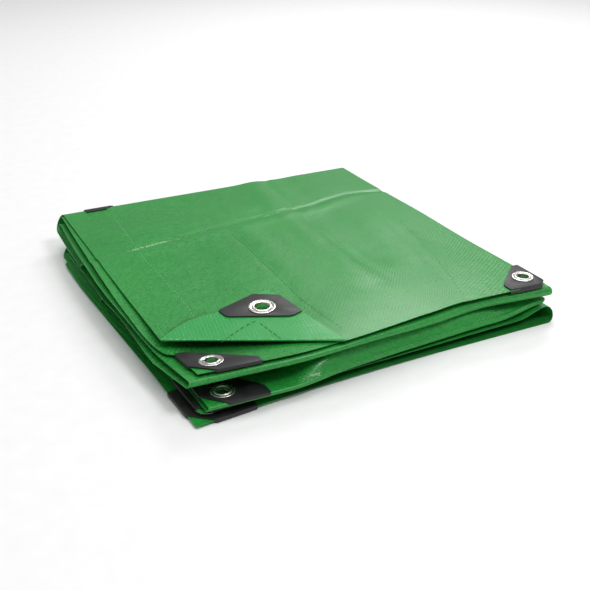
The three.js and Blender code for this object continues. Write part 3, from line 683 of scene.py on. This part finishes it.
# %% [markdown]
# ## Eyelets
# An eyelet is a stamped and plated ring, rolled over a washer so that it clamps guard and cloth. One
# profile is spun round the eyelet's axis: a flat flange with a rounded edge, a groove, and a higher
# rim that rolls into the bore. The ring is then sheared a little, to lie flat on its guard.

# %% Eyelet pieces
RIM_TOP = 1.1
RIM_ROOT = 0.35
FLANGE_TOP = 0.6
FLANGE_EDGE = 0.9
EDGE_ROOT = 0.15
GROOVE_AT = 0.45
GROOVE_STEPS = [(0.5, 0.0), (0.15, 0.2), (0.0, 0.25)]
BORE_BELOW = 1
WASHER = 0.5
RING_STEPS = 72


def arc_between(centre, radii, start, end, count):
    """Points on a part of an ellipse in the profile's plane, angles in degrees."""
    angles = [math.radians(start + (end - start) * i / count) for i in range(count + 1)]
    return [(centre[0] + radii[0] * math.cos(a), centre[1] + radii[1] * math.sin(a)) for a in angles]


def eyelet_profile(guard):
    """Radius and height of the ring's points, from the washer round the flange to the bore."""
    flange, bore = guard["flange"], guard["flange"] * BORE_SHARE
    barrel = flange * BARREL_SHARE
    on_fold = guard.get("on_fold")
    washer_top = -guard["under"] - OVER_CLOTH - (0 if on_fold else PLATE + GAP)
    base = OVER_CLOTH + PLATE + GAP
    groove = bore + GROOVE_AT * (flange - bore)
    rim = (bore + groove) / 2
    profile = [(bore, washer_top - WASHER), (flange * WASHER_SHARE, washer_top - WASHER),
               (flange * WASHER_SHARE, washer_top), (barrel, washer_top), (barrel, base), (flange, base)]
    profile += arc_between((flange - FLANGE_EDGE, base + EDGE_ROOT),
                           (FLANGE_EDGE, FLANGE_TOP - EDGE_ROOT), 0, 90, 6)
    profile += [(groove + out, base + FLANGE_TOP - down) for out, down in GROOVE_STEPS]
    profile += arc_between((rim, base + RIM_ROOT), (rim - bore, RIM_TOP - RIM_ROOT), 30, 180, 10)
    profile.append((bore, base - BORE_BELOW))
    return profile


def eyelet_piece(guard):
    profile = eyelet_profile(guard)
    bm = bmesh.new()
    verts = [bm.verts.new((radius, 0, height)) for radius, height in profile]
    edges = [bm.edges.new((verts[i - 1], verts[i])) for i in range(len(verts))]
    bmesh.ops.spin(bm, geom=verts + edges, cent=(0, 0, 0), axis=(0, 0, 1), angle=2 * math.pi,
                   steps=RING_STEPS, use_merge=True, use_duplicate=False)
    x, y = guard["centre"]
    for vert in bm.verts:
        lift = plane_height(guard["plane"], x + vert.co.x, y + vert.co.y)
        vert.co = place((x + vert.co.x, y + vert.co.y, lift + vert.co.z))
    bmesh.ops.recalc_face_normals(bm, faces=bm.faces)
    piece = new_piece("eyelet_" + guard["name"] + "_ring", bm)
    piece.data.set_sharp_from_angle(angle=SHARP_EDGE)
    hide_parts("eyelet_" + guard["name"])
    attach(piece, "root")
    return piece


eyelets = [eyelet_piece(guard) for guard in GUARDS]
print("eyelets:", len(eyelets))

# %% [markdown]
# ## Stitches
# The hem and the seams are sewn with thick thread. Every stitch is one small capsule that lies on
# the top sheet, half sunk into it. The stitches of a seam are joined in one mesh.

# %% Stitch pieces
STITCH_RADIUS = 0.28
STITCH_LIFT = 0.1
PITCH_SPREAD = 0.06
SEAMS = rows_of(
    "name thread length pitch line",
    ("hem_left", "pale", 3.4, 6.0,
     [(46, 345), (42, 270), (39.9, 222), (41.6, 195.9), (41.2, 162.9), (41.7, 127.1), (38.4, 97)]),
    ("hem_front", "pale", 3.4, 6.0,
     [(152, 46), (197, 50), (227, 52), (235, 60), (271, 59), (306, 58.5), (318, 56)]),
    ("seam_middle", "dark", 3.6, 5.4,
     [(141, 247), (139, 151), (136, 87), (137.5, 58), (140, 41), (141, 24)]),
    ("seam_right", "dark", 3.0, 6.4,
     [(316, 195), (298.7, 116.6), (284, 69), (271.2, 31.9), (267, 20)]),
    ("corner_left", "dark", 4.6, 6.6, [(81.4, 64.7), (69.5, 61.2), (57.9, 55.9), (42.4, 47.4)]),
    ("corner_right", "dark", 4.6, 6.6, [(82.6, 59.5), (83.6, 53.8), (85.7, 39.3), (87.0, 31)]),
)


def surface_height(x, y, on_corner):
    if not on_corner:
        return float(height_at(TOP_A, x, y))
    return ear_plane(Vector((x, y)))


def seam_piece(seam):
    bm = bmesh.new()
    line = [Vector(point) for point in seam["line"]]
    on_corner = seam["name"].startswith("corner")
    travelled = 0.0
    for start, end in zip(line, line[1:]):
        way, length = (end - start).normalized(), (end - start).length
        while travelled < length:
            spot = start + way * travelled
            tip = spot + way * seam["length"]
            heights = [surface_height(p.x, p.y, on_corner) for p in (spot, tip)]
            ends = [Vector(place((p.x, p.y, z))) for p, z in zip((spot, tip), heights)]
            direction = (ends[1] - ends[0]).normalized()
            turn = direction.to_track_quat("X", "Z").to_matrix().to_4x4()
            size = Matrix.Diagonal((seam["length"] / 2 * MM, STITCH_RADIUS * MM, STITCH_RADIUS * MM, 1))
            rise = Vector((0, 0, SHEET_THICKNESS / 2 + STITCH_LIFT * MM))
            matrix = Matrix.Translation((ends[0] + ends[1]) / 2 + rise) @ turn @ size
            bmesh.ops.create_uvsphere(bm, u_segments=10, v_segments=6, radius=1, matrix=matrix)
            travelled += seam["pitch"] * random.uniform(1 - PITCH_SPREAD, 1 + PITCH_SPREAD)
        travelled -= length
    piece = new_piece("stitches_" + seam["name"], bm)
    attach(piece, "root")
    return piece


seams = {seam["name"]: (seam["thread"], seam_piece(seam)) for seam in SEAMS}
print("seams:", len(seams))

# %% [markdown]
# ## Colours and nodes
# A colour is written as the sRGB hex value that a paint program shows, and one function turns it
# into the linear light that Blender computes with. Another one adds a node with its settings and its
# links, so that each material reads from top to bottom.


# %% Material helpers
def colour(code):
    """An sRGB hex colour as linear light with full alpha."""
    parts = [int(code[i:i + 2], 16) / 255 for i in (1, 3, 5)]
    return [p / 12.92 if p <= 0.04045 else ((p + 0.055) / 1.055) ** 2.4 for p in parts] + [1.0]


def add(tree, kind, inputs=None, **settings):
    """Adds a node. An input is a value, or the socket that is linked to it."""
    node = tree.nodes.new(kind)
    for name, value in settings.items():
        setattr(node, name, value)
    for name, value in (inputs or {}).items():
        socket = node.inputs[name]
        if isinstance(value, bpy.types.NodeSocket):
            tree.links.new(value, socket)
        else:
            socket.default_value = value
    return node


def new_material(name):
    material = bpy.data.materials.new(name)
    material.use_nodes = True
    material.node_tree.nodes.clear()
    return material


def finish_material(material, surface):
    tree = material.node_tree
    output = tree.nodes.new("ShaderNodeOutputMaterial")
    tree.links.new(surface, output.inputs["Surface"])
    return material


def give(piece, material):
    piece.data.materials.clear()
    piece.data.materials.append(material)


def ramp(tree, factor, stops):
    node = add(tree, "ShaderNodeValToRGB", {"Fac": factor})
    while len(node.color_ramp.elements) < len(stops):
        node.color_ramp.elements.new(0.5)
    for element, (position, value) in zip(node.color_ramp.elements, stops):
        element.position = position
        element.color = value if isinstance(value, list) else (value, value, value, 1)
    return node


print("green:", [round(c, 3) for c in colour("#28964A")])

# %% [markdown]
# ## Where the cloth is worn, where highlights and shade are painted on, and where it is turned over
# Coated cloth turns white where it has been bent hard, as along the cross crease. Along the folded
# corner's fold the white is partly such wear and partly a painted highlight. Along the corner's left
# edge, the left edge of the second sheet and the front folds of the roll and the lip, it is a painted
# highlight alone. Each vertex gets its strength from its distance in space to these lines. In the
# same way, painted_shade paints deep shade into the colour between the layers, under the folded
# corner's edge and low in the stack. inside marks the cloth's other face, which the corner turns up,
# and gives it its own green.

# %% Wear, painted highlight and painted shade attributes
WEAR_AND_HIGHLIGHT_LINES = rows_of(
    "strength width line",
    # Bend wear along the cross crease.
    (1.0, 4.0, [(37, 257, 39), (58, 259, 39), (74, 262, 39)]),
    (0.95, 2.0, [(74, 262, 39), (86, 262, 39), (92, 252, 39)]),
    (0.78, 2.4, [(0, 255, 39), (37, 256, 39), (114, 267, 39), (162, 272, 39), (233, 277, 39)]),
    (0.66, 2.2, [(233, 277, 39), (311, 292, 39), (352, 281, 39)]),
    # Along the folded corner's fold: bend wear and a painted highlight.
    (0.66, 2.6, [(0, 75, 40), (130, 6, 40)]),
    # Painted highlights where light catches the corner's left edge, the second sheet's left edge, the lip
    # and the roll.
    (0.6, 2.0, [(0, 75, 40), (32, 92, 41), (48, 96, 41), (59, 93, 41)]),
    (0.7, 3, [(12, 20, 33), (4, 60, 31), (-2, 100, 30)]),
    (0.72, 3, [(95, 1, 13), (150, 5, 13), (190, 7, 13)]),
    (0.6, 2, [(120, 5, 31), (180, 8, 31), (260, 12, 31)]),
)
# Painted shade under the folded corner's edge and in the dark pocket at the front left.
PAINTED_SHADE_LINES = rows_of(
    "strength width line",
    (0.6, 1.8, [(-3, 70, 38.4), (12, 86, 38.6), (30, 96, 38.6), (48, 100, 38.6), (60, 97, 38.6)]),
    (0.4, 1.8, [(62, 92, 38.6), (84, 104, 38.6)]),
    (1.0, 9, [(27, 15, 6), (29, 17, 1)]),
)
# Painted shade inside the pile between the layers, and low in the stack right of the corner.
SHADE_INSIDE = 0.6
SHADE_FROM_LEFT = (5, 18)
SHADE_FROM_FRONT = (20, 40)
SHADE_UNDER_TOP = 1
SHADE_BELOW = 0.5
SHADE_BELOW_HEIGHTS = (9, 5)
SHADE_BELOW_FROM_LEFT = (60, 90)
WEAR_AND_HIGHLIGHT_LEVEL = 0.3
EAR_LIFT = 0.9


def strength_near(points, lines):
    """Strength of the nearest line at points in millimetres from the pile's corner."""
    strength = np.zeros(len(points))
    for row in lines:
        line = np.array(row["line"], float)
        for start, end in zip(line, line[1:]):
            way = end - start
            t = np.clip((points - start) @ way / (way @ way), 0, 1)
            away = np.linalg.norm(points - start - t[:, None] * way, axis=1)
            strength = np.maximum(strength, row["strength"] * np.exp(-((away / row["width"]) ** 2)))
    return strength


def give_attribute(piece, name, values):
    attribute = piece.data.attributes.new(name, "FLOAT", "POINT")
    attribute.data.foreach_set("value", np.asarray(values, np.float32))


def points_of(piece):
    co = np.empty(len(piece.data.vertices) * 3)
    piece.data.vertices.foreach_get("co", co)
    return co.reshape(-1, 3) / MM - PILE_CORNER


cloth_points = points_of(cloth)
above = cloth_points[:, 2] - height_at(TOP_A, cloth_points[:, 0], cloth_points[:, 1])
# Bend wear, and painted highlights on the front folds and left edges.
wear_and_highlight = strength_near(cloth_points, WEAR_AND_HIGHLIGHT_LINES)
give_attribute(cloth, "wear_and_highlight", wear_and_highlight)
give_attribute(cloth, "inside", above > EAR_LIFT)
cloth_x, cloth_y, cloth_z = cloth_points.T
# Painted shade: darker between the layers inside the pile and low in the stack.
inner_shade = SHADE_INSIDE * smooth(*SHADE_FROM_LEFT, cloth_x) * smooth(*SHADE_FROM_FRONT, cloth_y)
inner_shade = inner_shade * (above < -SHADE_UNDER_TOP)
low_shade = SHADE_BELOW * smooth(*SHADE_BELOW_HEIGHTS, cloth_z) * smooth(*SHADE_BELOW_FROM_LEFT, cloth_x)
painted_shade = strength_near(cloth_points, PAINTED_SHADE_LINES) * (above < EAR_LIFT)
give_attribute(cloth, "painted_shade", np.maximum(painted_shade, np.maximum(inner_shade, low_shade)))
print("worn vertices:", int((wear_and_highlight > WEAR_AND_HIGHLIGHT_LEVEL).sum()))

# %% [markdown]
# ## Woven polyethylene
# Tarp cloth is woven from flat tapes of green polyethylene and coated on both faces. Real tapes are
# about 1.5 mm wide, and are drawn 2.2 mm wide here so that they show at this distance. Each one
# differs a little in tone and gloss, which gives the eye the weave. The coating has a satin sheen,
# white towards the light. The thin sheet lets some light through. Bending leaves white flecks, and
# the same white is painted as highlights along the front folds and left edges. A dark green is
# painted in where deep shade falls between the layers.

# %% Cloth material
TAPE = 2.2
FLECK = 0.9
CRUMPLE = 34.0
TRANSLUCENT_SHARE = 0.1
MM_IN_METRE = 1000.0
# The dark green of the painted shade, and the white of bend wear and of painted highlights.
PAINTED_SHADE_COLOUR = "#0B3A16"
WEAR_AND_HIGHLIGHT_COLOUR = "#B4DDB4"


def cells(tree, vector, size):
    """A random value for each square of the cloth."""
    scaled = add(tree, "ShaderNodeVectorMath", {0: vector, "Scale": 1 / size}, operation="SCALE")
    floor = add(tree, "ShaderNodeVectorMath", {0: scaled.outputs["Vector"]}, operation="FLOOR")
    return add(tree, "ShaderNodeTexWhiteNoise", {"Vector": floor.outputs["Vector"]}).outputs["Value"]


def mixed(tree, factor, first, second, kind="FLOAT"):
    """The output of a mix of two values or colours."""
    node = add(tree, "ShaderNodeMix", data_type=kind)
    ends = [s for s in node.inputs if s.enabled]
    for socket, value in zip(ends, (factor, first, second)):
        if isinstance(value, bpy.types.NodeSocket):
            tree.links.new(value, socket)
        else:
            socket.default_value = value
    return next(s for s in node.outputs if s.enabled)


def product(tree, first, second):
    return add(tree, "ShaderNodeMath", {0: first, 1: second}, operation="MULTIPLY").outputs[0]


def tape_height(tree, mm):
    """Tapes that go over and under each other, each one rounded across."""
    flat = add(tree, "ShaderNodeSeparateXYZ", {"Vector": mm})
    tapes = []
    for axis in ("X", "Y"):
        wave = add(tree, "ShaderNodeMath", {0: product(tree, flat.outputs[axis], math.pi / TAPE)},
                   operation="SINE")
        tapes.append(add(tree, "ShaderNodeMath", {0: wave.outputs[0]}, operation="ABSOLUTE").outputs[0])
    over = add(tree, "ShaderNodeTexChecker", {"Vector": mm, "Scale": 1 / TAPE})
    return mixed(tree, over.outputs["Fac"], *tapes)


def cloth_material(name, base, deep, inner, thin):
    material = new_material(name)
    tree = material.node_tree
    uv = add(tree, "ShaderNodeUVMap", uv_map="weave")
    mm = add(tree, "ShaderNodeVectorMath", {0: uv.outputs["UV"], "Scale": MM_IN_METRE},
             operation="SCALE").outputs["Vector"]
    place_at = add(tree, "ShaderNodeTexCoord").outputs["Object"]
    crumple = add(tree, "ShaderNodeTexNoise", {"Vector": place_at, "Scale": MM_IN_METRE / CRUMPLE,
                                               "Detail": 3.0, "Roughness": 0.55}).outputs["Fac"]
    tone = add(tree, "ShaderNodeTexNoise", {"Vector": place_at, "Scale": 14.0, "Detail": 2.0}).outputs["Fac"]
    streak_at = add(tree, "ShaderNodeMapping", {"Vector": mm, "Scale": (0.03, 0.25, 1.0)})
    streaks = add(tree, "ShaderNodeTexNoise", {"Vector": streak_at.outputs["Vector"], "Scale": 1.0,
                                               "Detail": 2.0}).outputs["Fac"]
    tape = cells(tree, mm, TAPE)
    shade = mixed(tree, 0.35, mixed(tree, 0.4, tone, streaks), tape)
    body = ramp(tree, shade, [(0.25, colour(deep)), (0.75, colour(base))]).outputs["Color"]
    inside = add(tree, "ShaderNodeAttribute", attribute_name="inside").outputs["Fac"]
    body = mixed(tree, inside, body, colour(inner), "RGBA")
    # Painted shade: a dark green painted into the colour where deep shade falls.
    painted_shade = add(tree, "ShaderNodeAttribute", attribute_name="painted_shade").outputs["Fac"]
    body = mixed(tree, painted_shade, body, colour(PAINTED_SHADE_COLOUR), "RGBA")
    # White flecks: bend wear along the creases, and painted highlights along the front folds and left edges.
    fleck = cells(tree, mm, FLECK)
    fine_noise = add(tree, "ShaderNodeTexNoise", {"Vector": mm, "Scale": 0.35, "Detail": 3.0}).outputs["Fac"]
    wear_and_highlight = add(tree, "ShaderNodeAttribute", attribute_name="wear_and_highlight").outputs["Fac"]
    reach = product(tree, wear_and_highlight, mixed(tree, 0.5, fleck, fine_noise))
    white = ramp(tree, reach, [(0.36, 0.0), (0.56, 1.0)]).outputs["Color"]
    worn_and_highlit = mixed(tree, white, body, colour(WEAR_AND_HIGHLIGHT_COLOUR), "RGBA")
    fine = add(tree, "ShaderNodeBump", {"Strength": 0.6, "Distance": 0.0003,
                                        "Height": tape_height(tree, mm)})
    soft = add(tree, "ShaderNodeBump", {"Strength": 0.7, "Distance": 0.0022,
                                        "Height": crumple, "Normal": fine.outputs[0]})
    sheen = ramp(tree, mixed(tree, 0.5, crumple, tape), [(0.3, 0.3), (0.7, 0.46)]).outputs["Color"]
    coated = add(tree, "ShaderNodeBsdfPrincipled", {
        "Base Color": worn_and_highlit, "Roughness": sheen, "IOR": 1.5, "Specular IOR Level": 0.4,
        "Coat Weight": 0.25, "Coat Roughness": 0.18, "Normal": soft.outputs[0]})
    through = add(tree, "ShaderNodeBsdfTranslucent", {"Color": colour(thin), "Normal": soft.outputs[0]})
    surface = add(tree, "ShaderNodeMixShader", {"Fac": TRANSLUCENT_SHARE, 1: coated.outputs[0],
                                                2: through.outputs[0]})
    return finish_material(material, surface.outputs[0])


woven = cloth_material("woven_polyethylene_coated", "#2BA03F", "#1E8A35", "#26A44A", "#3CC45E")
give(cloth, woven)
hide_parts("tarp_cloth")
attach(cloth, "root")
print("cloth material:", woven.name)

# %% [markdown]
# ## Thread, plastic and metal
# The thread is spun polyester, pale on the hems and dark on the corner, and its fibres keep it dull.
# The guards are moulded polyethylene, black with a satin skin that dust makes uneven. The eyelets
# are steel, stamped and nickel plated, so they mirror the light with a haze from the tumbling drum.


# %% Thread, plastic and metal
def thread_material(name, light, dark):
    material = new_material(name)
    tree = material.node_tree
    place_at = add(tree, "ShaderNodeTexCoord").outputs["Object"]
    fibres = add(tree, "ShaderNodeTexNoise", {"Vector": place_at, "Scale": 2600.0, "Detail": 2.0})
    tint = ramp(tree, fibres.outputs["Fac"], [(0.3, colour(dark)), (0.7, colour(light))])
    bump = add(tree, "ShaderNodeBump", {"Strength": 0.4, "Distance": 0.0001,
                                        "Height": fibres.outputs["Fac"]})
    shader = add(tree, "ShaderNodeBsdfPrincipled", {"Base Color": tint.outputs["Color"], "Roughness": 0.6,
                                                    "Normal": bump.outputs[0]})
    return finish_material(material, shader.outputs[0])


def plastic_material():
    material = new_material("moulded_polyethylene_black")
    tree = material.node_tree
    place_at = add(tree, "ShaderNodeTexCoord").outputs["Object"]
    grain = add(tree, "ShaderNodeTexNoise", {"Vector": place_at, "Scale": 1600.0, "Detail": 2.0})
    dust = add(tree, "ShaderNodeTexNoise", {"Vector": place_at, "Scale": 90.0, "Detail": 4.0})
    tint = ramp(tree, dust.outputs["Fac"], [(0.3, colour("#171618")), (0.75, colour("#222123"))])
    gloss = ramp(tree, dust.outputs["Fac"], [(0.3, 0.42), (0.7, 0.55)])
    bump = add(tree, "ShaderNodeBump", {"Strength": 0.25, "Distance": 0.00006,
                                        "Height": grain.outputs["Fac"]})
    shader = add(tree, "ShaderNodeBsdfPrincipled", {"Base Color": tint.outputs["Color"], "IOR": 1.5,
                                                    "Roughness": gloss.outputs["Color"],
                                                    "Normal": bump.outputs[0]})
    return finish_material(material, shader.outputs[0])


def metal_material():
    material = new_material("steel_nickel_plated")
    tree = material.node_tree
    place_at = add(tree, "ShaderNodeTexCoord").outputs["Object"]
    scratches = add(tree, "ShaderNodeTexNoise", {"Vector": place_at, "Scale": 900.0, "Detail": 4.0})
    haze = add(tree, "ShaderNodeTexNoise", {"Vector": place_at, "Scale": 160.0, "Detail": 2.0})
    tint = ramp(tree, haze.outputs["Fac"], [(0.3, colour("#DAD7D1")), (0.7, colour("#EAE8E4"))])
    gloss = ramp(tree, haze.outputs["Fac"], [(0.3, 0.22), (0.7, 0.34)])
    bump = add(tree, "ShaderNodeBump", {"Strength": 0.05, "Distance": 0.00003,
                                        "Height": scratches.outputs["Fac"]})
    shader = add(tree, "ShaderNodeBsdfPrincipled", {"Base Color": tint.outputs["Color"], "Metallic": 1.0,
                                                    "Roughness": gloss.outputs["Color"],
                                                    "Normal": bump.outputs[0]})
    return finish_material(material, shader.outputs[0])


threads = {"pale": thread_material("polyester_thread_pale", "#9AD2A2", "#74BB80"),
           "dark": thread_material("polyester_thread_dark", "#1D6434", "#164F2A")}
for thread, piece in seams.values():
    give(piece, threads[thread])
plastic = plastic_material()
for piece in guards.values():
    give(piece, plastic)
nickel = metal_material()
for piece in eyelets:
    give(piece, nickel)
print("materials:", len(bpy.data.materials))

# %% [markdown]
# ## Camera, floor and light
# The photo was taken from the front left, 27 degrees above the table. The floor is a plain white
# table. A very large soft light hangs high above and keeps the floor even. One behind to the right
# gives the top its pale sheen, and one at the front right lights the folds of the front.

# %% Camera and light
CAMERA_AT = (-0.36830, -0.72211, 0.40419)
CAMERA_YAW = math.radians(27.924)
CAMERA_PITCH = math.radians(27.372)
SENSOR = 36
FOCAL = SENSOR * 882.3747 / 590
FLOOR_REACH = 4

forward = Vector((math.sin(CAMERA_YAW) * math.cos(CAMERA_PITCH),
                  math.cos(CAMERA_YAW) * math.cos(CAMERA_PITCH), -math.sin(CAMERA_PITCH)))
lens = bpy.data.cameras.new("camera")
lens.lens = FOCAL
lens.sensor_width = SENSOR
camera = bpy.data.objects.new("camera", lens)
camera.location = CAMERA_AT
camera.rotation_mode = "QUATERNION"
camera.rotation_quaternion = forward.to_track_quat("-Z", "Y")
bpy.context.scene.collection.objects.link(camera)
bpy.context.scene.camera = camera

bm = bmesh.new()
bmesh.ops.create_grid(bm, x_segments=1, y_segments=1, size=FLOOR_REACH)
floor = new_piece("floor", bm, smooth_shaded=False)
white_table = new_material("white_laminate")
tree = white_table.node_tree
dust = add(tree, "ShaderNodeTexNoise", {"Vector": add(tree, "ShaderNodeTexCoord").outputs["Object"],
                                        "Scale": 60.0, "Detail": 2.0})
tint = ramp(tree, dust.outputs["Fac"], [(0.3, colour("#F4F4F4")), (0.7, colour("#F7F7F7"))])
laminate = add(tree, "ShaderNodeBsdfPrincipled", {"Base Color": tint.outputs["Color"], "Roughness": 0.7})
give(floor, finish_material(white_table, laminate.outputs[0]))

world = bpy.data.worlds.new("studio")
bpy.context.scene.world = world
world.use_nodes = True
background = world.node_tree.nodes["Background"]
background.inputs["Color"].default_value = (1, 1, 1, 1)
background.inputs["Strength"].default_value = 0.38


def area_light(name, at, size, power):
    data = bpy.data.lights.new(name, "AREA")
    data.shape, data.size, data.energy = "DISK", size, power
    light = bpy.data.objects.new(name, data)
    light.location = at
    light.rotation_mode = "QUATERNION"
    light.rotation_quaternion = (-Vector(at)).to_track_quat("-Z", "Y")
    bpy.context.scene.collection.objects.link(light)


area_light("softbox_above", (0.0, 0.6, 3.2), 2.6, 42)
area_light("softbox_back_right", (1.1, 1.2, 1.3), 0.7, 11)
area_light("softbox_front_right", (0.5, -0.8, 1.4), 0.5, 10)
bpy.context.scene.view_settings.view_transform = "Standard"
print("camera at", [round(c, 3) for c in camera.location])
